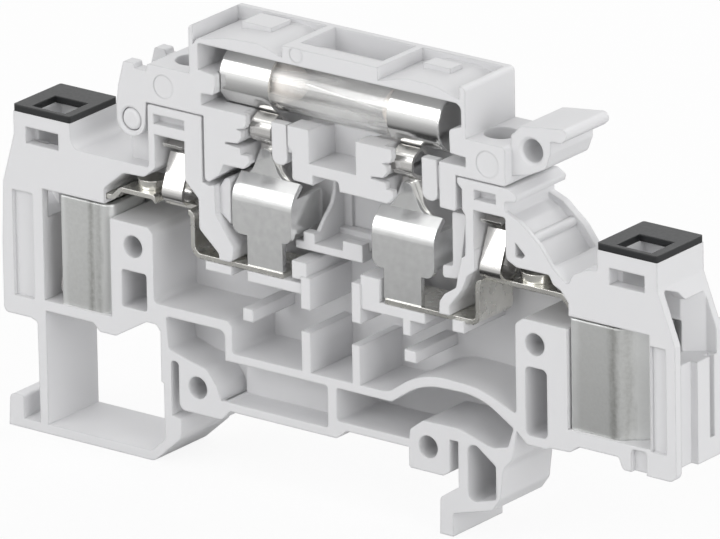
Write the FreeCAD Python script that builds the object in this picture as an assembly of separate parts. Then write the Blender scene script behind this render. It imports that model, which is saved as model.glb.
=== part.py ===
"""Hinged fuse terminal block for a 35 mm top-hat rail, seen from its open side.

Frame, in millimetres: the origin is the middle of the rail seat. X runs along the
block, Y through its thickness with the open side at -Y, and Z points away from the
rail. Outlines are (x, z) or (x, z, corner radius) points in the open side's plane.
"""
import FreeCAD, Part
import math
import os

V = FreeCAD.Vector

# Driving dimensions
RAIL_WIDTH = 35.0
RAIL_PLAY = 0.7
RAIL_FLANGE_GAP = 2.0
BACK_WALL = 1.2
FOOT_HEIGHT = 6.1
TOWER_TOP = 27.2
TOWER_LENGTH = 7.1
LEFT_TOWER_X = -36.6
RIGHT_TOWER_X = 34.9
SEAM_HEIGHT = 31.2
SEAM_GAP = 0.15
SIDE_GAP = 0.15
FRAME_HEIGHT = 0.7
FRAME_DEPTH = 7.55
FUSE_LENGTH = 26.9
FUSE_DIAMETER = 6.3
FUSE_INSET = 0.85
FUSE_COVER = 0.85
CAP_LENGTH = 6.2
CAP_WALL = 0.3
GLASS_WALL = 0.7
FUSE_WIRE = 0.25
FUSE_CENTRE_X = 1.85
FUSE_RISE = 3.8
FUSE_PLAY = 0.1
PIVOT_X = -21.8
PIVOT_DROP = 2.0
PIN_RADIUS = 1.15
PIN_CLEARANCE = 0.06
PIN_DOME = 0.45
EAR_RADIUS = 1.75
EAR_THICKNESS = 1.3
EAR_PITCH = 5.0
EAR_SINK = 0.15
EAR_GAP = 0.2
ROOF_COVER = 2.2
LEVER_BACK = 0.65
SHEET = 0.6
BUSBAR_SHEET = 0.5
BUSBAR_WIDTH = 5.4
BUSBAR_INSET = 0.4
BUSBAR_FIT = 0.05
DECK_DROP = 9.8
DECK_DIP = 0.65
BUSBAR_FOOT_DROP = 14.75
RIVET_HEIGHT = 0.95
SPRING_SHEET = 0.35
CAGE_SHEET = 0.7
CAGE_TOP_DROP = 11.8
CAGE_FRONT = 5.5
CAGE_DEPTH = 5.55
CAGE_INSET = 0.3
CAGE_SEAT_Z = 8.0
CAGE_TOP_GAP = 0.3
PIN_HOLE_RADIUS = 1.15
PROBE_BORE_RADIUS = 1.75
PROBE_BORE_Y = -0.6
TOWER_SKIN = 0.9
TOWER_FLARE = 2.05
PAST = 1.0

# Planes and places worked out from them
BLOCK_DEPTH = FUSE_INSET + FUSE_DIAMETER + FUSE_COVER
GLASS_DIAMETER = FUSE_DIAMETER - 2 * CAP_WALL
FRONT = -BLOCK_DEPTH / 2
BACK = BLOCK_DEPTH / 2
FLOOR = BACK - BACK_WALL
SLOT_END = RAIL_WIDTH / 2 + RAIL_PLAY / 2
LEVER_FLOOR = FLOOR - SIDE_GAP
LEVER_SEAM = SEAM_HEIGHT + SEAM_GAP
LEVER_HEIGHT = FUSE_RISE + FUSE_DIAMETER / 2 + ROOF_COVER
LEVER_TOP = LEVER_SEAM + LEVER_HEIGHT
LEVER_BACK_IN = BACK - LEVER_BACK
FUSE_AXIS = (FRONT + FUSE_INSET + FUSE_DIAMETER / 2, LEVER_SEAM + FUSE_RISE)
PIVOT_Z = SEAM_HEIGHT - PIVOT_DROP
PIVOT = (PIVOT_X, PIVOT_Z)
CAGE_HEIGHT = SEAM_HEIGHT - CAGE_TOP_DROP - CAGE_SEAT_Z
BAY_TOP = CAGE_SEAT_Z + CAGE_HEIGHT + CAGE_TOP_GAP
BUSBAR_FOOT = SEAM_HEIGHT - BUSBAR_FOOT_DROP
BUSBAR_TOP = BUSBAR_FOOT + BUSBAR_SHEET / 2
BUSBAR_NEAR = FRONT + BUSBAR_INSET
CAGE_NEAR = FRONT + CAGE_INSET
SHELF_TOP = BUSBAR_FOOT - BUSBAR_SHEET / 2
OPEN_SIDE = FRONT - PAST


def corner_arc(before, corner, after):
    """Tangent points and middle of the arc that rounds one corner of an outline."""
    x, z, radius = corner
    point = V(x, 0, z)
    to_before = (V(before[0], 0, before[1]) - point)
    to_after = (V(after[0], 0, after[1]) - point)
    half = to_before.getAngle(to_after) / 2
    reach = radius / math.tan(half)
    first = point + to_before.normalize() * reach
    last = point + to_after.normalize() * reach
    inward = (to_before + to_after).normalize()
    centre = point + inward * (radius / math.sin(half))
    middle = centre - inward * radius
    return first, middle, last


def outline(points):
    """Closed wire in the XZ plane with each corner rounded by its own radius."""
    edges = []
    start = None
    cursor = None
    count = len(points)
    for index, point in enumerate(points):
        if len(point) == 3:
            first, middle, last = corner_arc(points[index - 1], point, points[(index + 1) % count])
        else:
            first = middle = last = V(point[0], 0, point[1])
        if cursor is not None and cursor.distanceToPoint(first) > 1e-6:
            edges.append(Part.LineSegment(cursor, first).toShape())
        if len(point) == 3:
            edges.append(Part.Arc(first, middle, last).toShape())
        start = start or first
        cursor = last
    if cursor.distanceToPoint(start) > 1e-6:
        edges.append(Part.LineSegment(cursor, start).toShape())
    return Part.Wire(edges)


def prism(points, near, far):
    """Solid with the outline points, from the plane y = near to y = far."""
    face = Part.Face(outline(points))
    face.translate(V(0, near, 0))
    return face.extrude(V(0, far - near, 0))


def box(x, y, z):
    """Box between pairs of limits along X, Y and Z."""
    return Part.makeBox(x[1] - x[0], y[1] - y[0], z[1] - z[0], V(x[0], y[0], z[0]))


def across(centre, radius, near, far):
    """Round bar along Y about a point (x, z)."""
    return Part.makeCylinder(radius, far - near, V(centre[0], near, centre[1]), V(0, 1, 0))


def upright(centre, radius, z):
    """Round bar along Z about a point (x, y)."""
    return Part.makeCylinder(radius, z[1] - z[0], V(centre[0], centre[1], z[0]))


def along(x, radius, centre):
    """Round bar along X about a point (y, z)."""
    return Part.makeCylinder(radius, x[1] - x[0], V(x[0], centre[0], centre[1]), V(1, 0, 0))


def strip_outline(path, thickness):
    """Outline of a bent strip, seen on its edge, along a path of (x, z, bend radius)."""
    sides = ([], [])
    for index, point in enumerate(path):
        here = V(point[0], point[1], 0)
        behind = V(*path[index - 1][:2], 0) if index else None
        ahead = V(*path[index + 1][:2], 0) if index + 1 < len(path) else None
        arrive = (here - behind).normalize() if behind else (ahead - here).normalize()
        leave = (ahead - here).normalize() if ahead else arrive
        normal = V(-(arrive.y + leave.y), arrive.x + leave.x, 0).normalize()
        stretch = thickness / 2 / normal.dot(V(-arrive.y, arrive.x, 0))
        turn = arrive.cross(leave).z
        for side, sign in zip(sides, (1, -1)):
            spot = here + normal * stretch * sign
            bend = point[2] + thickness / 2 * (-1 if turn * sign > 0 else 1) if len(point) == 3 else 0
            side.append((spot.x, spot.y, bend) if bend > 0.05 else (spot.x, spot.y))
    return sides[0] + sides[1][::-1]


def strip(path, thickness, near, far):
    """Bent sheet strip whose width runs along Y."""
    return prism(strip_outline(path, thickness), near, far)


def cross_strip(path, thickness, x):
    """Bent sheet strip whose width runs along X, along a path of (y, z, bend radius)."""
    solid = strip(path, thickness, -x[1], -x[0])
    solid.rotate(V(0, 0, 0), V(0, 0, 1), 90)
    return solid


def side_prism(points, x):
    """Solid with an outline of (y, z) points, between two places along X."""
    solid = prism(points, -x[1], -x[0])
    solid.rotate(V(0, 0, 0), V(0, 0, 1), 90)
    return solid


def plan_prism(points, z):
    """Upright solid with an outline of (x, y) points."""
    wire = Part.makePolygon([V(x, y, z[0]) for x, y in points + points[:1]])
    return Part.Face(wire).extrude(V(0, 0, z[1] - z[0]))


def domed(bar, near, rise):
    """Round bar along Y with the rim of its near end rounded."""
    rim = [edge for edge in bar.Edges if abs(edge.CenterOfMass.y - near) < 0.01]
    return bar.makeFillet(rise, rim)


def at_height(level, *points):
    """Points whose second number is a height above a level, or below it."""
    return [(point[0], level + point[1], *point[2:]) for point in points]


def fused(solids):
    """One clean solid out of overlapping ones."""
    return solids[0].multiFuse(solids[1:]).removeSplitter()


def save(node, shape):
    """Write one sub-part."""
    shape.exportStep(f"parts/{node}.step")


# Routes of the two busbars, which lie in grooves of the housing

LEG_END = CAGE_SEAT_Z + 2.5
DIP = -DECK_DROP - DECK_DIP
BUSBARS = {
    "left": [(-26.3, LEG_END)] + at_height(
        SEAM_HEIGHT, (-26.3, -10.8, 0.8), (-24.6, -10.8, 0.5), (-23.6, -DECK_DROP, 0.5),
        (-19.6, -DECK_DROP, 0.4), (-18.9, DIP, 0.4), (-14.7, DIP, 0.5),
        (-14.7, -BUSBAR_FOOT_DROP, 1.0), (-3.6, -BUSBAR_FOOT_DROP)),
    "right": [(32.9, LEG_END)] + at_height(
        SEAM_HEIGHT, (32.9, -10.9, 0.8), (31.4, -10.9, 0.5), (30.3, -DECK_DROP, 0.5),
        (24.2, -DECK_DROP, 0.4), (23.5, DIP, 0.4), (20.15, DIP, 0.5),
        (20.15, -BUSBAR_FOOT_DROP, 0.8), (8.9, -BUSBAR_FOOT_DROP))}

# Housing

TOWERS = {"left": LEFT_TOWER_X, "right": RIGHT_TOWER_X}
BAYS = {"left": (-33.2, -24.75), "right": (31.15, 41.0)}
SHAFT_X = (2.0, TOWER_LENGTH - 0.7)
SHAFT_Y = (FRONT + 1.3, FRONT + 5.1)
FRAME_HOLE_X = (1.9, TOWER_LENGTH - 1.0)
FRAME_HOLE_Y = (FRONT + 0.55, FRONT + 4.3)
PROBE_X = {"left": -16.6, "right": 21.1}
MOUTH_Y = (FRONT + TOWER_SKIN, FRONT + TOWER_SKIN + 3.75)
MOUTH_DROP = 10.7
MOUTH_FLARE = 2.1
MOUTH_FLARE_DROP = 4.6
CHANNEL_DEPTH = 0.8
CHANNEL_WIDTH = 2.7
FOOT_Z = -FOOT_HEIGHT
PIN_HOLES = [(-21.9, SEAM_HEIGHT - 15.3), (27.3, SEAM_HEIGHT - 15.3), (-14.15, 2.75), (14.2, 2.6)]


def housing_outline():
    """Outer edge of the moulding, from the left tower over the top to the rail feet."""
    left, right = TOWERS["left"], TOWERS["right"]
    left_end, right_end = left + TOWER_LENGTH, right + TOWER_LENGTH
    flare = right_end + TOWER_FLARE
    left_side = [(left - 1.8, 5.8, 0.6), (left - 1.8, 13.0)]
    left_side += at_height(TOWER_TOP, (left - 1.5, -7.6), (left, -2.4), (left, 0), (left_end, 0))
    seam = at_height(
        SEAM_HEIGHT, (left_end, -6.6, 1.2), (-19.7, -6.6, 0.3), (-19.7, 0, 0.2), (24.4, 0, 0.4),
        (25.35, -0.55, 0.3), (25.2, -1.2, 0.2), (23.9, -1.4, 0.2), (23.9, -2.4, 0.2),
        (25.6, -3.05, 1.0), (28.0, -5.0, 2.0), (29.6, -7.1, 0.5), (31.4, -8.45, 0.4), (32.0, -7.2, 0.5),
        (33.6, -6.4, 1.0), (right, -6.2, 0.2))
    right_side = at_height(TOWER_TOP, (right, 0), (right_end, 0), (right_end, -2.8), (flare, -8.2))
    right_side += [
        (flare, 5.2, 0.9), (37.7, 5.25, 0.5), (37.2, 6.45, 0.3), (32.4, 6.45, 0.5), (31.4, 5.7, 0.5),
        (28.9, 5.6), (28.6, 5.4), (26.2, 5.4, 0.6), (25.0, 6.5)]
    right_claw = [
        (6.55, 3.4, 1.0), (5.45, 2.2, 1.0), (5.05, -1.0, 1.0), (4.05, -2.4, 0.5), (-0.75, -3.7, 0.4),
        (-0.75, FOOT_Z), (-2.35, FOOT_Z), (-2.25, -2.3, 0.6), (0, 1.2 - RAIL_FLANGE_GAP), (0, 1.3),
        (-1.85, 0.0, 0.3), (-6.0, 0.0, 0.3), (-6.0, 2.1)]
    middle = [(4.2, 2.1, 0.5), (3.0, 1.1, 0.5), (-10.2, 1.1, 0.5), (-11.3, 0.0, 0.4)]
    left_claw = [
        (1.35, 0.0, 0.8), (1.35, 4.95, 0.4), (0.4, 4.95, 0.4), (0.4, -0.8), (1.55, -1.0, 0.3),
        (1.55, -3.0, 1.5), (-1.95, FOOT_Z, 1.0)]
    foot = [
        (-38.1, FOOT_Z), (-37.9, -2.7, 0.6), (-36.2, -2.7, 0.3), (-36.2, -5.1), (-34.1, -5.1),
        (-34.2, 5.5, 0.4), (-35.0, 5.8)]
    return (left_side + seam + right_side + shifted(SLOT_END, right_claw) + middle
            + shifted(-SLOT_END, left_claw) + foot)


def shifted(x, points):
    """Points whose first number is a distance from a place along X."""
    return [(x + point[0], *point[1:]) for point in points]


FOOT_LOOP = [(-33.1, -5.1), (-33.1, 6.9)] + shifted(-SLOT_END, [
    (-9.25, 6.9, 0.3), (-8.45, 6.1, 0.4), (-6.45, 6.1, 0.6), (-2.55, 8.35, 0.5), (-1.35, 8.35, 0.5),
    (-0.85, 7.7, 0.3), (-0.85, 2.5), (-0.55, 2.3), (-0.55, -3.6, 0.6), (-2.25, -5.1, 0.6)])

MAIN_HOLLOW = at_height(
    SEAM_HEIGHT, (-25.4, -12.9), (-25.4, -9.9, 0.6), (-24.6, -9.2, 0.4), (-22.9, -7.8, 0.8),
    (-20.3, -7.7, 0.8), (-18.9, -6.5, 0.5), (-18.9, -3.0), (-15.2, -3.0), (-15.2, -7.1),
    (-13.05, -7.1), (-13.05, PAST), (18.2, PAST), (18.2, -0.6, 0.2), (18.75, -1.1), (18.75, -3.2),
    (19.1, -3.7), (19.1, -7.2), (20.1, -7.2), (20.1, -3.0), (23.95, -3.0, 0.3), (23.95, -7.2, 0.7),
    (25.2, -7.8, 0.4), (29.1, -7.8, 0.3), (29.6, -8.7), (30.5, -9.1), (31.4, -10.2), (31.4, -12.9),
    (25.9, -12.9, 0.6), (24.95, -13.6, 0.6))
MAIN_HOLLOW += [
    (24.95, 8.2, 0.3), (20.6, 10.0, 9.0), (13.6, 10.2, 9.0), (9.6, 7.4, 1.5), (8.6, 7.25),
    (-9.75, 7.25, 0.4), (-9.75, 10.0, 0.3), (-10.3, 10.55), (-19.4, 10.55, 0.5)]
MAIN_HOLLOW += at_height(SEAM_HEIGHT, (-19.4, -13.5, 0.5), (-20.1, -12.9))

ARC_HOLLOW = [
    (3.05, 2.95, 0.3), (3.05, 6.35, 0.3), (9.8, 6.35, 1.0), (13.6, 9.0, 8.0), (20.6, 9.2, 8.0),
    (24.6, 6.7, 0.3), (23.9, 4.6, 0.5), (22.0, 4.1, 2.0), (18.0, 5.3, 3.0), (13.6, 5.2, 1.0),
    (12.0, 4.0, 0.5), (11.9, 2.95)]

FOOT_HOLLOW = [
    (-18.0, 9.45, 0.4), (-10.65, 9.45, 0.8), (-10.65, 2.0), (-11.3, 2.0), (-11.8, 3.4, 0.8),
    (-13.0, 4.9, 0.8), (-15.3, 5.4), (-17.7, 6.1, 0.4)]

FOOT_HOLLOW_DEPTH = 4.4
LABEL_DEPTH = 3.3
LABEL_HOLLOW = [(-10.65, 2.0, 0.3), (-10.65, 6.35), (1.95, 6.35, 0.3), (1.95, 2.0, 0.3)]

CLAW_HOLLOW = shifted(SLOT_END, [
    (1.15, -1.6, 0.8), (1.15, 3.95, 0.8), (2.25, 3.95, 0.4), (4.55, 2.3, 0.4), (4.55, -1.2, 0.4),
    (2.05, -1.9, 0.3)])

LEFT_CURVED_WALL = at_height(
    SEAM_HEIGHT, (-15.2, -7.0), (-13.55, -8.6, 0.5), (-13.55, -11.7, 0.7), (-11.2, -13.8, 0.4),
    (-11.1, -14.45), (-9.6, -14.45, 0.5), (-9.3, -12.9, 0.8), (-10.25, -11.6, 0.6), (-11.5, -9.8, 0.4),
    (-11.55, -6.85, 0.2), (-12.3, -7.0, 0.3), (-13.0, -6.8, 0.1))

RIGHT_CURVED_WALL = at_height(
    SEAM_HEIGHT, (19.05, -7.1), (19.05, -7.9, 0.2), (18.6, -8.2), (18.1, -10.2, 0.8),
    (17.9, -11.4, 0.6), (16.5, -12.3, 0.5), (15.85, -13.2, 0.5), (15.8, -14.45), (17.0, -14.45),
    (17.0, -13.5, 0.3), (18.6, -11.5, 0.5), (19.2, -10.0, 0.3), (20.15, -9.2, 0.2), (20.15, -7.1))

LEFT_CONTACT_RIB = at_height(
    SEAM_HEIGHT, (-11.5, -7.2), (-11.5, -9.8), (-10.2, -10.8), (-10.2, -6.0, 0.3), (-10.9, -6.2, 0.2))
RIGHT_CONTACT_RIB = at_height(
    SEAM_HEIGHT, (16.95, -4.0, 0.3), (18.7, -4.0, 0.4), (18.1, -8.2), (17.6, -10.8, 0.6),
    (15.7, -11.0, 0.3), (15.7, -9.7, 0.3), (16.95, -9.6, 0.3))
GUSSET_X = (-1.3, -0.85)
GUSSET_BLOCK = (-2.2, -0.85)
PLATFORM_NUB = (2.6, 5.0)
GUSSET = at_height(
    SEAM_HEIGHT, (FRONT + 2.0, -12.0), (FRONT + 2.0, -10.3, 0.4), (FRONT + 2.9, -10.3, 0.2),
    (FRONT + 3.9, -9.2), (FRONT + 5.1, -8.1, 1.5), (FRONT + 5.6, -6.8), (FRONT + 5.6, -4.8),
    (FLOOR + 0.2, -4.8), (FLOOR + 0.2, -12.0))

SHOULDER_CHANNEL = at_height(
    SEAM_HEIGHT, (23.9, -1.4), (23.9, -3.0, 0.3), (25.2, -3.6, 1.0), (27.5, -5.6, 1.5), (28.9, -7.4, 0.3),
    (30.3, -6.0), (28.0, -1.4))
SHOULDER_RIM = 0.5
SHOULDER_FLANGE = 0.9
SHOULDER_BAR = (26.75, SEAM_HEIGHT - 4.85)

def level(drop_low, drop_high):
    """Heights of a ledge, given as drops from the seam."""
    return (SEAM_HEIGHT - drop_low, SEAM_HEIGHT - drop_high)


LEDGES = {
    "platform": ((-3.2, 5.0), level(12.1, 11.3), 2.0),
    "platform_step": ((-0.9, 5.0), level(11.4, 10.7), 6.0),
    "left_shelf": ((-7.9, -0.6), (SEAM_HEIGHT - 16.1, SHELF_TOP), 0.3),
    "left_nub": ((-13.1, -9.9), (SEAM_HEIGHT - 15.95, SHELF_TOP), 0.3),
    "left_stub": ((-1.2, -0.05), level(17.5, 14.2), 0.1),
    "right_shelf": ((5.05, 13.8), (SEAM_HEIGHT - 16.1, SHELF_TOP), 0.3),
    "right_step": ((6.0, 8.3), level(15.1, 12.6), 0.3),
    "right_stub": ((5.05, 6.1), level(17.6, 13.5), 0.1),
    "right_short_stub": ((11.1, 12.0), level(17.7, 16.0), 0.3),
    "left_rib": ((-1.15, -0.05), (7.0, 11.4), 0.0),
    "right_rib": ((5.05, 6.0), (7.0, 11.3), 0.0),
    "left_nib": ((-8.4, -7.15), (11.0, 12.3), 0.1),
    "right_nib": ((11.4, 12.8), (10.9, 12.1), 0.1),
    "left_step": ((-2.4, -0.6), level(14.6, 12.8), 0.3),
    "right_nub": ((17.3, 18.7), level(16.0, 14.8), 0.1)}


def tower_cuts(side):
    """Driver shaft, front window, wire funnel and grip recesses of one end tower."""
    base = TOWERS[side]
    shaft = (base + SHAFT_X[0], base + SHAFT_X[1])
    if side == "left":
        face = base - 1.8
        mouth_x = (face - PAST, BAYS[side][0] + 0.2)
        flare_x = (face - PAST, base - 0.8, base + 1.8)
        channel_x = (face - PAST, face + CHANNEL_DEPTH)
        back_x = (face - PAST, base + TOWER_LENGTH)
        window = ((base + 1.5, base + 5.6), (-3.1, -1.4))
        panel = ((base - 0.4, base + 2.1), (7.8, TOWER_TOP - 8.3))
    else:
        face = base + TOWER_LENGTH + TOWER_FLARE
        mouth_x = (BAYS[side][1] - 0.2, face + PAST)
        flare_x = (face + PAST, face - 1.2, face - 3.6)
        channel_x = (face - CHANNEL_DEPTH, face + PAST)
        back_x = (base, face + PAST)
        window = ((base + 1.4, base + 5.6), (-3.3, -1.6))
        panel = ((base + 6.2, base + TOWER_LENGTH + 0.9), (7.8, TOWER_TOP - 8.6))
    near, far = MOUTH_Y
    funnel = [(near, -MOUTH_DROP), (near, -2.95, 0.3), (near + 2.0, -3.7, 1.2),
              (far - 0.15, -5.6, 1.2), (far, -MOUTH_DROP)]
    flare = [(flare_x[0], near), (flare_x[0], far + MOUTH_FLARE), (flare_x[1], far + MOUTH_FLARE),
             (flare_x[2], far), (flare_x[2], near)]
    return [
        box(shaft, SHAFT_Y, (BAY_TOP - 0.7, TOWER_TOP + PAST)),
        box(window[0], (OPEN_SIDE, SHAFT_Y[0] + 0.1), [TOWER_TOP + z for z in window[1]]),
        side_prism(at_height(TOWER_TOP, *funnel), mouth_x),
        plan_prism(flare, (TOWER_TOP - MOUTH_DROP, TOWER_TOP - MOUTH_FLARE_DROP)),
        box(channel_x, (near, near + CHANNEL_WIDTH), (0.0, TOWER_TOP - MOUTH_DROP + 0.5)),
        box(channel_x, (FRONT + 5.6, FRONT + 6.3), (8.2, TOWER_TOP - 8.35)),
        box(back_x, (FRONT + FRAME_DEPTH, BACK + PAST), (BAY_TOP, TOWER_TOP + PAST)),
        box(panel[0], (OPEN_SIDE, FRONT + 0.45), panel[1])]


def rounded_pocket(x, z, radius):
    """Blind pocket with rounded corners, as deep as the hollows."""
    corners = [(x[0], z[0]), (x[1], z[0]), (x[1], z[1]), (x[0], z[1])]
    return prism([(*corner, radius) for corner in corners], OPEN_SIDE, FLOOR)


def housing_cuts():
    """Everything taken out of the solid block from its open side."""
    deep = (OPEN_SIDE, FLOOR)
    bay_height = (CAGE_SEAT_Z, BAY_TOP)
    right_end = TOWERS["right"] + TOWER_LENGTH + TOWER_FLARE
    cuts = [
        prism(FOOT_LOOP, OPEN_SIDE, BACK + PAST),
        prism(MAIN_HOLLOW, *deep), prism(ARC_HOLLOW, *deep),
        prism(FOOT_HOLLOW, OPEN_SIDE, FRONT + FOOT_HOLLOW_DEPTH),
        prism(CLAW_HOLLOW, *deep), prism(LABEL_HOLLOW, OPEN_SIDE, FRONT + LABEL_DEPTH),
        box(BAYS["left"], deep, bay_height), box(BAYS["right"], deep, bay_height),
        rounded_pocket((-23.4, -20.3), (9.4, 13.3), 0.3), rounded_pocket((26.1, 28.7), (6.4, 13.5), 0.6),
        box((SLOT_END - 1.05, SLOT_END), (OPEN_SIDE, BACK + PAST), (0.3, 3.9)),
        box((37.0, right_end + PAST), (FRONT + TOWER_SKIN + 0.1, BACK + PAST), (4.0, 6.05)),
        prism([(38.7, 4.0), (38.7, 7.6, 0.5), (40.55, 7.6, 0.3), (40.55, 4.0)], OPEN_SIDE, FRONT + 0.6)]
    cuts.append(box((0.15, 6.0), (OPEN_SIDE, FLOOR + 0.35), level(11.0, 5.0)))
    for x in ((-19.0, -15.2), (20.2, 22.8)):
        cuts.append(box(x, (OPEN_SIDE, FRONT + 1.0), level(1.9, 0.9)))
    cuts.append(prism(at_height(SEAM_HEIGHT, (25.1, -6.8, 0.2), (25.1, -5.3), (26.3, -6.4, 0.2),
                                (25.9, -6.8)), *deep))
    cuts.append(prism(SHOULDER_CHANNEL, FRONT + SHOULDER_RIM, BACK - SHOULDER_FLANGE))
    for centre in PIN_HOLES:
        cuts.append(across(centre, PIN_HOLE_RADIUS, *deep))
    for x in PROBE_X.values():
        cuts.append(upright((x, PROBE_BORE_Y), PROBE_BORE_RADIUS - 0.45, level(4.0, -PAST)))
    for side in TOWERS:
        cuts.extend(tower_cuts(side))
    return cuts


def shoulder_bar():
    """Round bar across the channel of the sloping shoulder."""
    return across(SHOULDER_BAR, 0.5, FRONT + SHOULDER_RIM - 0.2, BACK - SHOULDER_FLANGE + 0.2)


def hinge_post():
    """Post between the lever's ears, with the stub pin they turn on."""
    near = FRONT + EAR_THICKNESS + EAR_GAP
    far = FRONT + EAR_PITCH - EAR_GAP
    post = box((PIVOT_X - 1.1, PIVOT_X + 1.5), (near, far), (SEAM_HEIGHT - 7.2, PIVOT_Z))
    knuckle = across(PIVOT, EAR_RADIUS - 0.2, near, far)
    pin = domed(across(PIVOT, PIN_RADIUS, FRONT, FRONT + EAR_PITCH + EAR_THICKNESS), FRONT, PIN_DOME)
    return [post, knuckle, pin]


def busbar_groove(side):
    """Space that one busbar takes in the walls it passes through."""
    far = BUSBAR_NEAR + BUSBAR_WIDTH + BUSBAR_FIT
    return strip(BUSBARS[side], BUSBAR_SHEET + 2 * BUSBAR_FIT, BUSBAR_NEAR - BUSBAR_FIT, far)


def make_housing():
    body = prism(housing_outline(), FRONT, BACK).cut(housing_cuts())
    walls = [prism(LEFT_CURVED_WALL, FRONT, FLOOR + 0.2), prism(RIGHT_CURVED_WALL, FRONT, FLOOR + 0.2)]
    walls += [prism(LEFT_CONTACT_RIB, FRONT + 0.8, FLOOR + 0.2)]
    walls += [prism(RIGHT_CONTACT_RIB, FRONT + 0.8, FLOOR + 0.2)]
    walls += [side_prism(GUSSET, GUSSET_X)]
    for x in (GUSSET_BLOCK, PLATFORM_NUB):
        walls.append(box(x, (FRONT + 2.0, FRONT + 3.1), level(11.4, 10.3)))
    for x, z, inset in LEDGES.values():
        walls.append(box(x, (FRONT + inset, FLOOR + 0.2), z))
    whole = fused([body] + walls + hinge_post() + [shoulder_bar()])
    return whole.cut([busbar_groove("left"), busbar_groove("right")])


def make_marking_frame(side):
    """Black rectangular rim that clips over the driver shaft."""
    x = TOWERS[side]
    rim = box((x, x + TOWER_LENGTH), (FRONT, FRONT + FRAME_DEPTH), (TOWER_TOP, TOWER_TOP + FRAME_HEIGHT))
    corners = [edge for edge in rim.Edges if abs(edge.tangentAt(edge.FirstParameter).z) > 0.99]
    rim = rim.makeFillet(0.25, corners)
    hole = box((x + FRAME_HOLE_X[0], x + FRAME_HOLE_X[1]), FRAME_HOLE_Y,
               (TOWER_TOP - PAST, TOWER_TOP + FRAME_HEIGHT + PAST))
    return rim.cut(hole)


# Fuse lever

LEVER_BODY = at_height(
    LEVER_SEAM, (-19.7, 0), (-19.7, 4.05, 0.3), (-14.4, 4.05), (-14.4, LEVER_HEIGHT, 0.5),
    (19.3, LEVER_HEIGHT, 0.5), (19.3, 3.95), (24.0, 3.95, 0.5), (24.0, 0, 0.2))

POCKET_TOP = FUSE_RISE + FUSE_DIAMETER / 2 + 0.45
FUSE_POCKET = at_height(
    LEVER_SEAM, (-13.3, POCKET_TOP, 0.2), (18.8, POCKET_TOP, 0.8), (18.8, 5.05, 0.2), (17.3, 4.55, 0.5),
    (17.4, 2.15), (19.25, 2.05), (19.25, 1.05), (-13.0, 1.05), (-13.0, 2.25), (-11.5, 2.35, 0.3),
    (-11.25, 3.25), (-11.25, 4.45, 0.3), (-13.3, 4.65))

LEG_LEFT = -12.75

LEFT_LEG = at_height(
    LEVER_SEAM, (LEG_LEFT, 0.2), (LEG_LEFT, -6.5, 0.3), (-12.3, -6.8, 0.4), (-10.9, -5.75, 0.3),
    (-10.4, -4.6), (-7.9, -4.55, 0.2), (-7.1, -3.75, 0.2), (-7.3, -3.15), (-8.2, -3.15),
    (-8.3, -2.5), (-10.1, -2.4), (-10.1, -2.2), (-8.6, -2.05), (-8.1, -1.45), (-8.1, -0.85),
    (-8.7, -0.6), (-7.7, -0.35), (-7.5, 0.2))

MIDDLE_BLOCK = at_height(
    LEVER_SEAM, (-2.4, 0.2), (-2.4, -1.05), (-1.9, -1.55), (-1.9, -4.45, 0.3), (0.6, -4.55),
    (0.6, -3.55), (3.75, -3.55, 0.3), (3.9, -4.55), (9.7, -4.6, 0.3), (10.5, -3.75, 0.2),
    (10.3, -3.15), (9.6, -3.15), (9.5, -2.5), (7.75, -2.4), (7.75, -2.2), (9.2, -2.05),
    (9.7, -1.45), (9.7, -0.85), (9.1, -0.6), (10.1, -0.35), (10.3, 0.2))

RIGHT_LEG = at_height(LEVER_SEAM, (16.05, 0.2), (16.05, -3.65, 0.2), (18.0, -3.7, 0.3), (18.0, 0.2))

HANDLE = at_height(
    LEVER_SEAM, (23.9, 0.8), (26.1, 1.3, 1.2), (28.0, 2.25, 1.0), (28.6, 3.85, 0.5), (28.6, 5.2, 0.25),
    (29.9, 5.2, 0.5), (30.75, 5.95, 0.5), (30.2, 6.7, 0.5), (25.0, 6.05, 0.3), (24.1, 5.05, 0.3),
    (23.9, 5.0))
HANDLE_INSET = 1.15
HANDLE_EYE = (26.35, LEVER_SEAM + 3.75)
EYE_RADIUS = 1.2
EYE_SINK = 0.25

EAR = [
    (-22.6, LEVER_SEAM + 3.75, 0.2), (-21.3, LEVER_SEAM + 3.75, 0.2), (-21.2, LEVER_SEAM + 3.25),
    (-19.4, LEVER_SEAM + 3.25), (-19.4, LEVER_SEAM), (-19.9, LEVER_SEAM),
    (PIVOT_X + EAR_RADIUS, PIVOT_Z), (PIVOT_X - EAR_RADIUS, PIVOT_Z),
    (PIVOT_X - EAR_RADIUS, PIVOT_Z + 1.5), (-23.3, LEVER_SEAM + 1.15)]

CONTACT_GAPS = ((-8.25, -2.4), (9.0, 16.05))
CONTACT_FACE_GAPS = ((-7.5, -2.4), (10.3, 16.05))
GAP_TOP = LEVER_SEAM + 1.65
FACE = 0.7
ROOF_BACK = 0.7
PEGS = (-3.45, 14.85)

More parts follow.
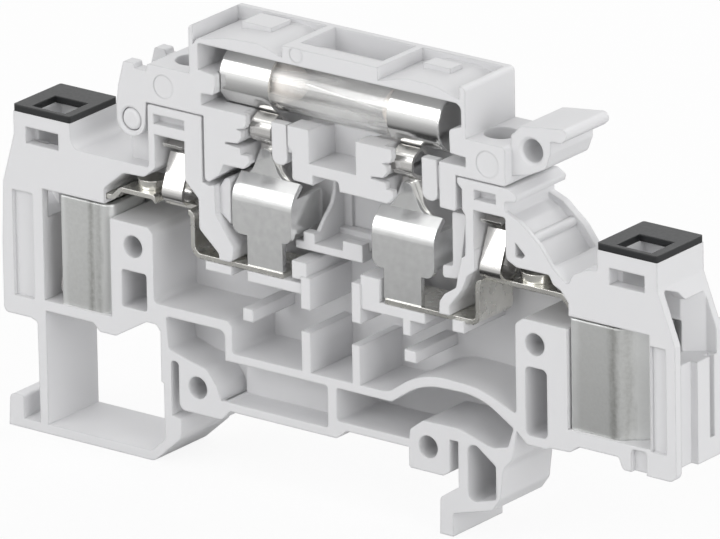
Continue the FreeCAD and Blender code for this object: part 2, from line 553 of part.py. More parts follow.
# The roof: an arched shell over each fuse cap, with a walled cell between them
LEFT_ARCH = at_height(
    LEVER_TOP, (-13.9, PAST), (-13.9, -2.0), (-13.4, -1.35), (-9.5, -0.55, 5.0), (-5.6, -0.4, 4.0),
    (-2.9, -1.25), (-2.9, PAST))
RIGHT_ARCH = at_height(
    LEVER_TOP, (8.75, PAST), (8.75, -1.3), (12.2, -0.45, 4.0), (15.6, -0.5, 4.0), (18.6, -1.35),
    (18.6, PAST))
MIDDLE_CELL_X = (-1.9, 7.95)
MIDDLE_CELL = at_height(
    LEVER_TOP, (FRONT + 1.7, PAST), (FRONT + 1.7, -1.3), (FRONT + 5.1, -1.35), (BACK - ROOF_BACK, -2.9),
    (BACK - ROOF_BACK, PAST))
CELL_SHELL = at_height(
    LEVER_TOP, (FRONT + 5.6, -1.0), (FRONT + 5.6, -2.5), (LEVER_BACK_IN, -4.5), (LEVER_BACK_IN, -1.0))
ROOF_HUMPS = (((-10.6, -6.9), (-0.4, 2.7)), ((11.5, 14.8), (-0.3, 1.6)))
ROOF_EYES = ((-3.3, LEVER_TOP - 0.8), (18.25, LEVER_TOP - 0.85))
EYE_HOLE_RADIUS = 0.38
EJECTOR_MARKS = ((-1.2, LEVER_TOP - 0.65, 0.8), (21.85, LEVER_SEAM + 1.85, 1.35),
                 (-17.7, LEVER_SEAM + 2.0, 1.2))
EJECTOR_DEPTH = 0.08


def lever_ear(near):
    """One of the two ears that turn on the stub pin, with a countersunk hole."""
    far = near + EAR_THICKNESS
    radius = PIN_RADIUS + PIN_CLEARANCE
    sink = Part.makeCone(radius + EAR_SINK, radius, EAR_SINK, V(PIVOT_X, near, PIVOT_Z), V(0, 1, 0))
    ear = prism(EAR, near, far).fuse(across(PIVOT, EAR_RADIUS, near, far))
    return ear.cut([across(PIVOT, radius, near - PAST, far + PAST), sink])


def lever_peg(x):
    """Rounded guide bar that hangs in front of a fuse contact."""
    low, high = LEVER_SEAM - 3.25, LEVER_SEAM + 1.0
    peg = prism([(x - 0.95, low, 0.8), (x - 1.0, high), (x + 0.8, high), (x + 0.9, low, 0.8)],
                FRONT + 0.1, FRONT + 1.1)
    web = box((x + 0.3, x + 1.3), (FRONT + 0.3, FRONT + 1.0), (LEVER_SEAM - 1.85, LEVER_SEAM + 0.5))
    return [peg, web]


def lever_handle():
    """Finger flap with a hooked lip, on a lug with a countersunk eye."""
    near = FRONT + HANDLE_INSET
    start = V(HANDLE_EYE[0], near, HANDLE_EYE[1])
    sink = Part.makeCone(EYE_RADIUS + EYE_SINK, EYE_RADIUS, EYE_SINK, start, V(0, 1, 0))
    return prism(HANDLE, near, BACK).cut([across(HANDLE_EYE, EYE_RADIUS, FRONT, BACK + PAST), sink])


def lever_top():
    """Box over the fuse, with its arched roof."""
    back = BACK - ROOF_BACK
    cell = side_prism(MIDDLE_CELL, MIDDLE_CELL_X)
    cuts = [prism(LEFT_ARCH, OPEN_SIDE, back), prism(RIGHT_ARCH, OPEN_SIDE, back), cell]
    top = prism(LEVER_BODY, FRONT, BACK).cut(cuts)
    humps = [box(x, y, (LEVER_TOP - 1.0, LEVER_TOP)) for x, y in ROOF_HUMPS]
    return [top] + humps


def lever_cuts():
    """Fuse chamber, contact gaps, probe bores and the marks on the open side."""
    half = FUSE_LENGTH / 2 + FUSE_PLAY
    chamber = (FUSE_CENTRE_X - half, FUSE_CENTRE_X + half)
    shell = side_prism(CELL_SHELL, (MIDDLE_CELL_X[0] - 1.0, MIDDLE_CELL_X[1] + 0.8))
    cuts = [prism(FUSE_POCKET, OPEN_SIDE, LEVER_BACK_IN).cut(shell)]
    cuts.append(along(chamber, FUSE_DIAMETER / 2 + FUSE_PLAY, FUSE_AXIS))
    cuts.append(box((0.2, 5.9), (OPEN_SIDE, 0.2), (LEVER_SEAM - 2.4, GAP_TOP)))
    for gap, face_gap in zip(CONTACT_GAPS, CONTACT_FACE_GAPS):
        cuts.append(box(gap, (FRONT + FACE, LEVER_FLOOR), (LEVER_SEAM - 6.35, GAP_TOP)))
        cuts.append(box(face_gap, (OPEN_SIDE, FRONT + FACE + 0.1), (LEVER_SEAM - 0.2, GAP_TOP)))
    for x in PROBE_X.values():
        cuts.append(upright((x, PROBE_BORE_Y), PROBE_BORE_RADIUS, (LEVER_SEAM - PAST, LEVER_SEAM + 5.0)))
    for eye in ROOF_EYES:
        cuts.append(across(eye, EYE_HOLE_RADIUS, OPEN_SIDE, FRONT + 0.9))
    for x, z, radius in EJECTOR_MARKS:
        cuts.append(across((x, z), radius, OPEN_SIDE, FRONT + EJECTOR_DEPTH))
    return cuts


def make_lever():
    legs = [prism(leg, FRONT, LEVER_FLOOR) for leg in (LEFT_LEG, MIDDLE_BLOCK, RIGHT_LEG)]
    ears = [lever_ear(FRONT), lever_ear(FRONT + EAR_PITCH)]
    body = fused(lever_top() + legs + ears + [lever_handle()]).cut(lever_cuts())
    pegs = [piece for x in PEGS for piece in lever_peg(x)]
    return fused([body] + pegs)


# Cartridge fuse

WIRE_START_RISE = 0.6
WIRE_END_DROP = 1.0
CAP_ROUND = 0.3

def fuse_end(sign):
    """Outer end of the fuse on one side."""
    return FUSE_CENTRE_X + sign * FUSE_LENGTH / 2


def span(a, b):
    """Pair of limits, lowest first."""
    return (min(a, b), max(a, b))


def make_cap(sign):
    """Nickel-plated end cap, a cup drawn over the glass."""
    end = fuse_end(sign)
    centre = FUSE_AXIS
    cup = along(span(end, end - sign * CAP_LENGTH), FUSE_DIAMETER / 2, centre)
    rim = [edge for edge in cup.Edges if len(edge.Vertexes) == 1 and abs(edge.CenterOfMass.x - end) < 0.01]
    cup = cup.makeFillet(CAP_ROUND, rim)
    bore = along(span(end - sign * CAP_WALL, end - sign * (CAP_LENGTH + 1)), GLASS_DIAMETER / 2, centre)
    return cup.cut(bore)


def make_glass():
    """Glass tube that runs into both caps."""
    reach = FUSE_LENGTH / 2 - CAP_WALL
    centre = FUSE_AXIS
    x = (FUSE_CENTRE_X - reach, FUSE_CENTRE_X + reach)
    return along(x, GLASS_DIAMETER / 2, centre).cut(along(x, GLASS_DIAMETER / 2 - GLASS_WALL, centre))


def make_fuse_wire():
    """Fine wire stretched slantwise between the solder beads in the caps."""
    reach = FUSE_LENGTH / 2 - CAP_LENGTH + 1.2
    start = V(FUSE_CENTRE_X - reach, FUSE_AXIS[0], FUSE_AXIS[1] + WIRE_START_RISE)
    end = V(FUSE_CENTRE_X + reach, FUSE_AXIS[0], FUSE_AXIS[1] - WIRE_END_DROP)
    return Part.makeCylinder(FUSE_WIRE / 2, start.distanceToPoint(end), start, end - start)


def make_bead(sign):
    """Solder that fills the cap and holds the wire, domed toward the middle."""
    centre = FUSE_AXIS
    radius = GLASS_DIAMETER / 2 - GLASS_WALL
    end = fuse_end(sign) - sign * CAP_WALL
    mouth = fuse_end(sign) - sign * (CAP_LENGTH + 0.1)
    plug = along(span(end, mouth), radius, centre)
    dome = Part.makeSphere(radius, V(mouth, *centre)).cut(along(span(mouth, end), radius + 1, centre))
    return fused([plug, dome]).cut(make_fuse_wire())


# Metal parts

SPRING_SEAT = CAGE_SEAT_Z + SPRING_SHEET / 2

CONTACTS = {"left": ((-9.85, -2.6), (-8.05, -3.75)), "right": ((7.3, 14.8), (8.7, 13.2))}
CONTACT_NEAR = FRONT + 0.55
CONTACT_LEAN = 1.5
CONTACT_BACK = CONTACT_NEAR + 1.65
BELL_SHIFT = -0.7
FINGER_SHIFT = -0.4
PLATE_LOW = -11.45
SIDE_PLATE = [(FRONT + 2.1, -10.6, 0.8), (FRONT + 5.6, -10.2, 0.2), (FRONT + 5.6, -6.9, 0.3),
              (CONTACT_NEAR + 0.8, -6.9)]
BELL = [(2.9, -9.3), (2.9, -6.1, 0.2), (1.6, -5.2, 1.5), (0.5, -2.75, 0.4)]


def make_contact(side):
    """Stamped fuse contact: curved front plate with a foot tongue, side plate, bell-shaped back plate."""
    x, tongue_x = CONTACTS[side]
    middle = CONTACT_NEAR + SHEET / 2
    foot = BUSBAR_TOP - SEAM_HEIGHT
    face = [(middle, foot), (middle, -7.2, 2.0), (middle + CONTACT_LEAN, -7.2 + CONTACT_LEAN)]
    blank = at_height(
        SEAM_HEIGHT, (x[0], 0), (x[0], PLATE_LOW, 1.0), (tongue_x[0], PLATE_LOW), (tongue_x[0], foot),
        (tongue_x[1], foot), (tongue_x[1], PLATE_LOW), (x[1], PLATE_LOW, 1.0), (x[1], 0))
    front = cross_strip(at_height(SEAM_HEIGHT, *face), SHEET, x).common(prism(blank, FRONT, BACK))
    side_plate = side_prism(at_height(SEAM_HEIGHT, (middle, -10.4), *SIDE_PLATE, (middle, -7.6)),
                            (x[1] - SHEET, x[1]))
    centre = sum(x) / 2 + BELL_SHIFT
    bell = at_height(SEAM_HEIGHT, *[(centre - point[0], *point[1:]) for point in BELL],
                     *[(centre + point[0], *point[1:]) for point in BELL[::-1]])
    back = (CONTACT_BACK, CONTACT_BACK + SHEET)
    strap = box((centre, x[1]), back, level(9.3, 7.3))
    return fused([front, side_plate, strap, prism(bell, *back)])


def make_contact_spring(side):
    """Tapered leaf that rises behind the contact's back plate and bears on the fuse cap."""
    x = sum(CONTACTS[side][0]) / 2 + FINGER_SHIFT
    base = CONTACT_BACK + SHEET + SPRING_SHEET / 2 + 0.02
    bear = FUSE_AXIS[1] - FUSE_DIAMETER / 2 + 0.16
    path = at_height(SEAM_HEIGHT, (base, -7.7), (base, -2.3, 0.4), (FRONT + 1.2, -1.35, 0.8),
                     (FRONT + 1.3, 0.1, 0.8))
    path += [(FRONT + 2.7, bear, 0.5), (FRONT + 3.5, bear - 0.75)]
    leaf = cross_strip(path, SPRING_SHEET, (x - 2.9, x + 2.9))
    flank = [(2.9, -8.0), (2.9, -6.4, 0.3), (1.25, -4.8, 1.0), (1.25, 8.0)]
    right = at_height(SEAM_HEIGHT, *flank)
    taper = [(x + point[0], *point[1:]) for point in right]
    taper += [(x - point[0], *point[1:]) for point in right[::-1]]
    return leaf.common(prism(taper, FRONT, BACK))


DIP_SETBACK_X = {"left": (-19.3, -15.2), "right": (20.6, 24.3)}
DIP_SETBACK = 1.9


def make_busbar(side):
    """Plated copper strip from the wire clamp to the contact's foot, narrowed inside the cage."""
    bar = strip(BUSBARS[side], BUSBAR_SHEET, BUSBAR_NEAR, BUSBAR_NEAR + BUSBAR_WIDTH)
    leg_x = BUSBARS[side][0][0]
    notch = box((leg_x - 1.0, leg_x + 1.0), (OPEN_SIDE, CAGE_NEAR + CAGE_SHEET + 0.1), (0.0, BAY_TOP))
    setback = box(DIP_SETBACK_X[side], (OPEN_SIDE, FRONT + DIP_SETBACK), level(-DIP + 0.8, 0))
    return bar.cut([notch, setback])


RIVETS = {"left": (-21.3, 1.45), "right": (26.0, 1.75)}
RIVET_Y = BUSBAR_NEAR + 2.15
DECK_TOP = SEAM_HEIGHT - DECK_DROP + BUSBAR_SHEET / 2


def make_rivet(side):
    """Round plated stud on the busbar's deck."""
    x, radius = RIVETS[side]
    return upright((x, RIVET_Y), radius, (DECK_TOP, DECK_TOP + RIVET_HEIGHT))


JUMPER_X = {"left": (-18.5, -16.0), "right": (20.4, 22.9)}


def make_jumper_spring(side):
    """Looped leaf over the busbar's dip, where a test probe or a cross jumper plugs in."""
    foot = SEAM_HEIGHT + DIP + (BUSBAR_SHEET + SPRING_SHEET) / 2 + 0.02
    lip = SEAM_HEIGHT - 3.5
    near, far = FRONT + 0.6, FRONT + 3.2
    path = [(near + 0.1, lip - 0.65), (far, lip, 0.5), (far, foot, 0.9), (near, foot, 0.9),
            (near, foot + 1.2, 1.5), (FRONT + 2.1, SEAM_HEIGHT - 5.2)]
    return cross_strip(path, SPRING_SHEET, JUMPER_X[side])


CAGES = {"left": -31.1, "right": 31.45}


def make_clamp_cage(side):
    """Zinc-plated steel sleeve of the wire clamp, bent round in plan."""
    x = CAGES[side]
    near = CAGE_NEAR + CAGE_SHEET / 2
    far = near + CAGE_DEPTH
    corner = x + CAGE_FRONT
    if side == "left":
        path = [(x, near), (corner + 0.35, near, 0.8), (corner + 0.35, far, 0.8), (x + 0.6, far)]
    else:
        path = [(x, near), (corner, near, 0.8), (corner + 2.5, near + 2.1, 0.8), (corner + 2.5, far, 0.8),
                (x + 2.6, far)]
    points = [(p[0], -p[1], *p[2:]) for p in path]
    sleeve = strip(points, CAGE_SHEET, 0.0, CAGE_HEIGHT)
    sleeve.rotate(V(0, 0, 0), V(1, 0, 0), 90)
    sleeve.translate(V(0, 0, CAGE_SEAT_Z))
    return sleeve


LEAF_TOP = CAGE_SEAT_Z + CAGE_HEIGHT - 1.2
CLAMP_SPRINGS = {
    "left": [(-26.9, LEAF_TOP), (-26.9, SPRING_SEAT, 1.6), (-32.4, SPRING_SEAT, 1.2),
             (-30.6, LEAF_TOP - 1.8, 1.0), (-27.5, LEAF_TOP + 0.2)],
    "right": [(33.5, LEAF_TOP), (33.5, SPRING_SEAT, 1.4), (37.0, SPRING_SEAT, 1.2),
              (35.9, LEAF_TOP - 1.8, 1.0), (34.1, LEAF_TOP + 0.2)]}


def make_clamp_spring(side):
    """Stainless leaf inside the cage that presses the wire against the busbar's leg."""
    return strip(CLAMP_SPRINGS[side], SPRING_SHEET, FRONT + 1.5, FRONT + 5.5)


def main():
    os.makedirs("parts", exist_ok=True)
    save("housing", make_housing())
    save("fuse_lever", make_lever())
    save("glass_tube", make_glass())
    save("fuse_wire", make_fuse_wire())
    for side, sign in (("left", -1), ("right", 1)):
        save(f"marking_frame_{side}", make_marking_frame(side))
        save(f"fuse_cap_{side}", make_cap(sign))
        save(f"solder_bead_{side}", make_bead(sign))
        save(f"fuse_contact_{side}", make_contact(side))
        save(f"contact_spring_{side}", make_contact_spring(side))
        save(f"busbar_{side}", make_busbar(side))
        save(f"rivet_{side}", make_rivet(side))
        save(f"jumper_spring_{side}", make_jumper_spring(side))
        save(f"clamp_cage_{side}", make_clamp_cage(side))
        save(f"clamp_spring_{side}", make_clamp_spring(side))


main()
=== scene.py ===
"""Hinged fuse terminal block for a top-hat rail: its looks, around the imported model."""
import math
import bpy
from mathutils import Matrix, Vector


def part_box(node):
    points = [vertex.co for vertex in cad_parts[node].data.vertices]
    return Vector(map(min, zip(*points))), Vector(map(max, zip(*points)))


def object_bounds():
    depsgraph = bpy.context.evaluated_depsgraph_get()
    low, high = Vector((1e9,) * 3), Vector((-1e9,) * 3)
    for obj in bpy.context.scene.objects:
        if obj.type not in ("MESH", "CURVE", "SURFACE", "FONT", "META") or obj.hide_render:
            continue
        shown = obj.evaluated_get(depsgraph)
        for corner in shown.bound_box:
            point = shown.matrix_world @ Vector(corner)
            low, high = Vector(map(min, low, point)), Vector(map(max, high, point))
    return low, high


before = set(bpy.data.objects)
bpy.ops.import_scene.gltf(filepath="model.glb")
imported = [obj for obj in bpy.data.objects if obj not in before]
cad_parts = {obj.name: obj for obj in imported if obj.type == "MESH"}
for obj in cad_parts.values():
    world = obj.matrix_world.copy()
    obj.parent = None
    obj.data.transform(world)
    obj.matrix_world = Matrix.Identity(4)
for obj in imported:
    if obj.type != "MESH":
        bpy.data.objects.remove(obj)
cad_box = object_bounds()

# Studio
# A very long lens looks down a little at the open side, from the handle's end.
# The block stands on its rail feet on a plain pale floor, in white surroundings.
MM = 0.001
VIEW_AZIMUTH = math.radians(37.597)
VIEW_ELEVATION = math.radians(19.765)
VIEW_ROLL = math.radians(0.994)
VIEW_DISTANCE = 1417.7 * MM
VIEW_RIGHT = 2.204 * MM
VIEW_UP = 15.84 * MM
LENS_MM = 723.28
SENSOR_MM = 36
CLIP_START = 0.1
CLIP_END = 20

back = Vector((math.sin(VIEW_AZIMUTH) * math.cos(VIEW_ELEVATION),
               -math.cos(VIEW_AZIMUTH) * math.cos(VIEW_ELEVATION), math.sin(VIEW_ELEVATION)))
level = Vector((math.cos(VIEW_AZIMUTH), math.sin(VIEW_AZIMUTH), 0))
right = Matrix.Rotation(-VIEW_ROLL, 3, back) @ level
up = back.cross(right)
stand = back * VIEW_DISTANCE + right * VIEW_RIGHT + up * VIEW_UP
camera = bpy.data.objects.new("camera", bpy.data.cameras.new("camera"))
camera.data.lens = LENS_MM
camera.data.sensor_width = SENSOR_MM
camera.data.clip_start = CLIP_START
camera.data.clip_end = CLIP_END
camera.matrix_world = Matrix.Translation(stand) @ Matrix((right, up, back)).transposed().to_4x4()
bpy.context.collection.objects.link(camera)
bpy.context.scene.camera = camera
bpy.context.scene.view_settings.view_transform = "Standard"


class Shade:
    """One output of a node tree; sums on it are written as plain expressions."""

    def __init__(self, tree, output=None):
        self.tree = tree
        self.output = output

    def node(self, kind, settings=None, sockets=None, output=0):
        """Adds any node: its settings first, then the values or links of its sockets."""
        new = self.tree.nodes.new("ShaderNode" + kind)
        for name, value in (settings or {}).items():
            if name == "stops":
                while len(new.color_ramp.elements) < len(value):
                    new.color_ramp.elements.new(1.0)
                for stop, (place, tone) in zip(new.color_ramp.elements, value):
                    stop.position = place
                    stop.color = (tone, tone, tone, 1.0)
            else:
                setattr(new, name, value)
        for name, value in (sockets or {}).items():
            if isinstance(value, Shade):
                self.tree.links.new(value.output, new.inputs[name])
            else:
                new.inputs[name].default_value = value
        return Shade(self.tree, new.outputs[output] if len(new.outputs) else None)

    def math(self, operation, first, second=0.0):
        """One Math node."""
        return self.node("Math", {"operation": operation}, {0: first, 1: second})

    def __add__(self, other):
        return self.math("ADD", self, other)

    def __sub__(self, other):
        return self.math("SUBTRACT", self, other)

    def __rsub__(self, other):
        return self.math("SUBTRACT", other, self)

    def __mul__(self, other):
        return self.math("MULTIPLY", self, other)

    __radd__ = __add__
    __rmul__ = __mul__


WHITE = (1.0, 1.0, 1.0, 1.0)
AMBIENT = 0.50
FULL = 1.0

world = bpy.data.worlds.new("white surroundings")
world.use_nodes = True
world.node_tree.nodes.clear()
bpy.context.scene.world = world
sky = Shade(world.node_tree)
seen = sky.math("MAXIMUM", sky.node("LightPath", output="Is Camera Ray"),
                sky.math("MAXIMUM", sky.node("LightPath", output="Is Glossy Ray"),
                         sky.node("LightPath", output="Is Transmission Ray")))
sky.node("OutputWorld", sockets={"Surface": sky.node("MixShader", sockets={
    0: seen, 1: sky.node("Background", sockets={"Color": WHITE, "Strength": AMBIENT}),
    2: sky.node("Background", sockets={"Color": WHITE, "Strength": FULL})})})


def soft_lamp(name, towards, distance, width, height, power):
    """Rectangular soft box that faces the middle of the block."""
    data = bpy.data.lights.new(name, "AREA")
    data.shape = "RECTANGLE"
    data.size = width
    data.size_y = height
    data.energy = power
    lamp = bpy.data.objects.new(name, data)
    middle = (cad_box[0] + cad_box[1]) / 2
    direction = Vector(towards).normalized()
    lamp.location = middle + direction * distance
    lamp.rotation_mode = "QUATERNION"
    lamp.rotation_quaternion = direction.to_track_quat("Z", "Y")
    bpy.context.collection.objects.link(lamp)


soft_lamp("overhead soft box", towards=(-0.15, -0.25, 1.0), distance=0.6, width=0.35, height=0.2, power=0.3)
soft_lamp("front soft box", towards=(-0.35, -1.0, 0.6), distance=0.7, width=0.6, height=0.45, power=1.85)
soft_lamp("right soft box", towards=(1.0, -0.25, 0.25), distance=0.7, width=0.5, height=0.5, power=2.4)
soft_lamp("back soft box", towards=(0.05, 1.0, 0.45), distance=0.7, width=0.45, height=0.5, power=1.9)
soft_lamp("left soft box", towards=(-1.0, 0.0, 0.15), distance=0.7, width=0.4, height=0.4, power=1.2)

FLOOR_REACH = 3.0
FLOOR_GREY = (0.86, 0.86, 0.86, 1.0)
FLOOR_GLOW = 0.88
# Glossy rays see the floor as a painted tone: a painted shadow, darkest right under the block and paler
# further out.
MIRROR_REACH = 400 * MM
MIRRORED_PAINTED_SHADOW = ((0.10, 0.05), (0.15, 0.37), (0.30, 0.52), (1.0, 0.85))

corners = [(x * FLOOR_REACH, y * FLOOR_REACH, cad_box[0].z) for x, y in ((-1, -1), (1, -1), (1, 1), (-1, 1))]
floor_mesh = bpy.data.meshes.new("floor")
floor_mesh.from_pydata(corners, [], [(0, 1, 2, 3)])
floor = bpy.data.objects.new("floor", floor_mesh)
bpy.context.collection.objects.link(floor)


def new_material(name):
    """Empty material and the start of its node tree."""
    material = bpy.data.materials.new(name)
    material.use_nodes = True
    material.node_tree.nodes.clear()
    return material, Shade(material.node_tree)


floor_finish, tree = new_material("pale floor")
glow = tree.node("LightPath", output="Is Camera Ray") * FLOOR_GLOW
lit = tree.node("MixShader", sockets={
    0: glow, 1: tree.node("BsdfDiffuse", sockets={"Color": FLOOR_GREY}),
    2: tree.node("Emission", sockets={"Color": WHITE, "Strength": FULL})})
# The floor as metal and glass mirror it: a painted shadow that fades with distance from the block.
reach = tree.node("VectorMath", {"operation": "LENGTH"}, {
    0: tree.node("TexCoord", output="Object")}, output="Value")
mirrored_painted_shadow = tree.node("ValToRGB", {"stops": MIRRORED_PAINTED_SHADOW}, {"Fac": reach * (1 / MIRROR_REACH)})
tree.node("OutputMaterial", sockets={"Surface": tree.node("MixShader", sockets={
    0: tree.node("LightPath", output="Is Glossy Ray"), 1: lit,
    2: tree.node("Emission", sockets={"Color": mirrored_painted_shadow, "Strength": FULL})})})
floor_mesh.materials.append(floor_finish)

# Housing and fuse lever
# Two mouldings of light grey polyamide, open on one side, with every rib drawn from
# the same mould plane. Their edges are softly rounded and the skin is finely matt.
MOULDING_GREY = (0.69, 0.69, 0.70, 1.0)
MOULDING_CLOUD = (0.665, 0.665, 0.675, 1.0)
MOULDING_EDGE = 0.26 * MM
MOULDING_RELIEF = 0.12
MOULDING_ROUGHNESS = 0.4
MOULDING_ROUGHNESS_SPREAD = 0.12
CLOUD_SCALE = 90.0
MOULDING_GRAIN_SCALE = 5200.0
GRAIN_DEPTH = 0.02 * MM
EDGE_SAMPLES = 6


def noise(tree, place, scale, detail):
    """Cloudy pattern whose spots get smaller as the scale grows."""
    return tree.node("TexNoise", sockets={"Vector": place, "Scale": scale, "Detail": detail})


def blend(tree, share, first, second):
    """Colour between the two, by the share."""
    return tree.node("Mix", {"data_type": "RGBA"}, {0: share, 6: first, 7: second}, output=2)


def relief(tree, edge, strength, depth, height):
    """Fine bumps over softly rounded edges."""
    soft_edge = tree.node("Bevel", {"samples": EDGE_SAMPLES}, {"Radius": edge})
    return tree.node("Bump", sockets={"Strength": strength, "Distance": depth, "Height": height,
                                      "Normal": soft_edge})


def finish_with(tree, sockets):
    """Closes a material with one plain surface."""
    tree.node("OutputMaterial", sockets={"Surface": tree.node("BsdfPrincipled", sockets=sockets)})


def dress(node, material):
    """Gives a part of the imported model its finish."""
    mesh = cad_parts[node].data
    mesh.materials.clear()
    mesh.materials.append(material)


moulding, tree = new_material("grey moulding")
place = tree.node("TexCoord", output="Object")
cloud = noise(tree, place, CLOUD_SCALE, 2.0)
grain = noise(tree, place, MOULDING_GRAIN_SCALE, 2.0)
finish_with(tree, {
    "Base Color": blend(tree, cloud, MOULDING_GREY, MOULDING_CLOUD),
    "Roughness": MOULDING_ROUGHNESS + cloud * MOULDING_ROUGHNESS_SPREAD,
    "Normal": relief(tree, MOULDING_EDGE, MOULDING_RELIEF, GRAIN_DEPTH, grain)})
dress("housing", moulding)
dress("fuse_lever", moulding)

# Marking frames
# Black plastic rims, each moulded in one piece and clipped over the mouth of a driver
# shaft, on top of one of the two towers. The skin is satin with a fine grain.
MARKING_BLACK = (0.012, 0.013, 0.014, 1.0)
MARKING_EDGE = 0.2 * MM
MARKING_RELIEF = 0.15
MARKING_ROUGHNESS = 0.36
MARKING_ROUGHNESS_SPREAD = 0.15
MARKING_GRAIN_SCALE = 3600.0

marking, tree = new_material("black marking frame")
place = tree.node("TexCoord", output="Object")
grain = noise(tree, place, MARKING_GRAIN_SCALE, 2.0)
finish_with(tree, {
    "Base Color": MARKING_BLACK,
    "Roughness": MARKING_ROUGHNESS + grain * MARKING_ROUGHNESS_SPREAD,
    "Normal": relief(tree, MARKING_EDGE, MARKING_RELIEF, GRAIN_DEPTH, grain)})
for side in ("left", "right"):
    dress(f"marking_frame_{side}", marking)

# Cartridge fuse
# A clear glass tube between two nickel-plated caps. Solder fills the caps and holds
# a fine bright wire that runs slantwise through the tube.
PLATE_GRAIN_SCALE = 6000.0
PLATE_GRAIN_DEPTH = 0.01 * MM
PLATE_RELIEF = 0.15
PLATE_ROUGHNESS_SPREAD = 0.5


def plated_metal(name, colour, roughness, mottle, mottle_scale, edge, metallic=1.0):
    """Bright plated sheet with a faint mottled sheen and rounded edges."""
    material, tree = new_material(name)
    place = tree.node("TexCoord", output="Object")
    patch = noise(tree, place, mottle_scale, 4.0)
    fine = noise(tree, place, PLATE_GRAIN_SCALE, 2.0)
    bright = tuple(colour) + (1.0,)
    worn = tuple(channel * (1 - mottle) for channel in colour) + (1.0,)
    finish_with(tree, {
        "Base Color": blend(tree, patch, worn, bright), "Metallic": metallic,
        "Roughness": roughness + patch * (roughness * PLATE_ROUGHNESS_SPREAD),
        "Normal": relief(tree, edge, PLATE_RELIEF, PLATE_GRAIN_DEPTH, fine)})
    return material


nickel = plated_metal("nickel cap", (0.82, 0.82, 0.81), roughness=0.14, mottle=0.08,
                      mottle_scale=300.0, edge=0.05 * MM)
solder = plated_metal("solder", (0.90, 0.84, 0.78), roughness=0.45, mottle=0.1,
                      mottle_scale=900.0, edge=0.05 * MM, metallic=0.4)
for side in ("left", "right"):
    dress(f"fuse_cap_{side}", nickel)
    dress(f"solder_bead_{side}", solder)
dress("fuse_wire", nickel)

# The tube was drawn out, so long soft streaks haze it along its length. Its surface
# mirrors a little, and the light that falls through it is hardly dimmed.
GLASS_CLEAR = (0.99, 0.99, 0.99, 1.0)
GLASS_BENDING = 1.2
GLASS_DRAWN = (0.12, 1.0, 1.0)
GLASS_STREAK_SCALE = 900.0
GLASS_WAVE = 0.05
GLASS_WAVE_DEPTH = 0.1 * MM
GLASS_HAZE = ((0.40, 0.06), (0.68, 0.36))
HAZE_COLOUR = (0.93, 0.93, 0.92, 1.0)
HAZE_ROUGHNESS = 0.3
GLASS_GLOSS = 0.09
GLINT_COLOUR = (0.95, 0.95, 0.94, 1.0)
GLINT_ROUGHNESS = 0.1
GLASS_SHADOW = (0.98, 0.98, 0.98, 1.0)

glass, tree = new_material("clear glass")
place = tree.node("TexCoord", output="Object")
drawn = tree.node("Mapping", sockets={"Vector": place, "Scale": GLASS_DRAWN})
streak = noise(tree, drawn, GLASS_STREAK_SCALE, 0.0)
wave = tree.node("Bump", sockets={"Strength": GLASS_WAVE, "Distance": GLASS_WAVE_DEPTH, "Height": streak})
body = tree.node("BsdfPrincipled", sockets={
    "Base Color": GLASS_CLEAR, "Roughness": 0.0, "IOR": GLASS_BENDING, "Transmission Weight": 1.0,
    "Normal": wave})
haze = tree.node("BsdfPrincipled", sockets={"Base Color": HAZE_COLOUR, "Roughness": HAZE_ROUGHNESS})
glint = tree.node("BsdfPrincipled", sockets={
    "Base Color": GLINT_COLOUR, "Metallic": 1.0, "Roughness": GLINT_ROUGHNESS, "Normal": wave})
hazed = tree.node("MixShader", sockets={
    0: tree.node("ValToRGB", {"stops": GLASS_HAZE}, {"Fac": streak}), 1: body, 2: haze})
glossed = tree.node("MixShader", sockets={0: GLASS_GLOSS, 1: hazed, 2: glint})
tree.node("OutputMaterial", sockets={"Surface": tree.node("MixShader", sockets={
    0: tree.node("LightPath", output="Is Shadow Ray"), 1: glossed,
    2: tree.node("BsdfTransparent", sockets={"Color": GLASS_SHADOW})})})
dress("glass_tube", glass)

# Fuse contacts
# Stamped from tinned copper sheet and bent. A tapered leaf of spring steel rises behind
# each contact's back plate and bears on the fuse cap.
tinned = plated_metal("tinned contact", (0.95, 0.955, 0.95), roughness=0.17, mottle=0.16,
                      mottle_scale=1400.0, edge=0.08 * MM, metallic=0.9)
spring = plated_metal("spring steel", (0.80, 0.79, 0.77), roughness=0.16, mottle=0.1,
                      mottle_scale=500.0, edge=0.06 * MM)
for side in ("left", "right"):
    dress(f"fuse_contact_{side}", tinned)
    dress(f"contact_spring_{side}", spring)

# Jumper springs
# Looped leaves of the same spring steel, one over the dip of each busbar, where a test
# probe or a cross jumper plugs in.
for side in ("left", "right"):
    dress(f"jumper_spring_{side}", spring)

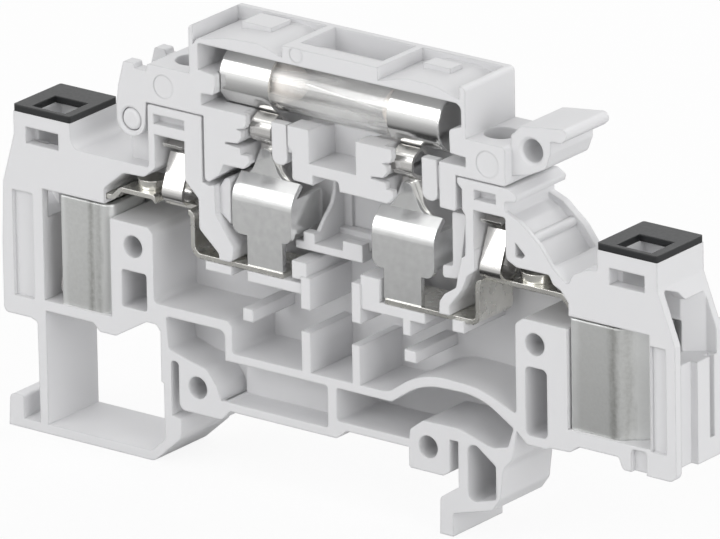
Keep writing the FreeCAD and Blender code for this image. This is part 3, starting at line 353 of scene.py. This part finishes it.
# Busbars
# Plated copper strips from the wire clamps to the contacts, each with a round plated
# stud on its deck. The plating is a little mottled and lets some warm metal show.
busbar = plated_metal("busbar", (0.93, 0.92, 0.87), roughness=0.22, mottle=0.3,
                      mottle_scale=700.0, edge=0.1 * MM)
stud = plated_metal("plated stud", (0.82, 0.81, 0.76), roughness=0.14, mottle=0.15,
                    mottle_scale=600.0, edge=0.15 * MM)
for side in ("left", "right"):
    dress(f"busbar_{side}", busbar)
    dress(f"rivet_{side}", stud)

# Wire clamps
# Zinc-plated steel sleeves, bent round in plan, with a stainless leaf inside each.
# Their zinc is specked; broad darker bands, wavering in fine upright streaks, are painted shade and
# reflection.
ZINC = (0.82, 0.83, 0.82, 1.0)
ZINC_PAINTED_SHADE = (0.30, 0.30, 0.28, 1.0)
# Painted shade and reflection: dark bands laid across each sleeve by its width, where the bent sheet turns
# away from the light.
CAGE_PAINTED_SHADE_BANDS = ((0.06, 0.0), (0.14, 0.28), (0.50, 0.30), (0.60, 0.85), (0.68, 0.35), (0.76, 0.55),
              (0.84, 0.1))
PAINTED_BAND_WANDER = 0.12
PAINTED_BAND_STRENGTH = 0.35
PAINTED_BAND_SPECK = 0.9
SPECK_SCALE = 2600.0
ZINC_DRAWN = (1.0, 1.0, 0.2)
ZINC_STREAK_SCALE = 1500.0
ZINC_EDGE = 0.3 * MM
ZINC_RELIEF = 0.2
ZINC_METALLIC = 0.8
ZINC_ROUGHNESS = 0.3
ZINC_ROUGHNESS_SPREAD = 0.2

for side in ("left", "right"):
    zinc, tree = new_material(f"zinc-plated steel {side}")
    place = tree.node("TexCoord", output="Object")
    speck = noise(tree, place, SPECK_SCALE, 4.0)
    drawn = tree.node("Mapping", sockets={"Vector": place, "Scale": ZINC_DRAWN})
    streak = noise(tree, drawn, ZINC_STREAK_SCALE, 3.0)
    # The painted shade bands follow the sleeve's own width, from its bounds.
    low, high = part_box(f"clamp_cage_{side}")
    across = tree.node("SeparateXYZ", sockets={0: place}) - low[0]
    painted_band = tree.node("ValToRGB", {"stops": CAGE_PAINTED_SHADE_BANDS}, {
        "Fac": across * (1 / (high[0] - low[0])) + (streak - 0.5) * PAINTED_BAND_WANDER})
    finish_with(tree, {
        "Base Color": blend(tree, painted_band * (PAINTED_BAND_STRENGTH + speck * PAINTED_BAND_SPECK), ZINC, ZINC_PAINTED_SHADE),
        "Metallic": ZINC_METALLIC, "Roughness": ZINC_ROUGHNESS + speck * ZINC_ROUGHNESS_SPREAD,
        "Normal": relief(tree, ZINC_EDGE, ZINC_RELIEF, GRAIN_DEPTH, speck)})
    dress(f"clamp_cage_{side}", zinc)
    dress(f"clamp_spring_{side}", spring)
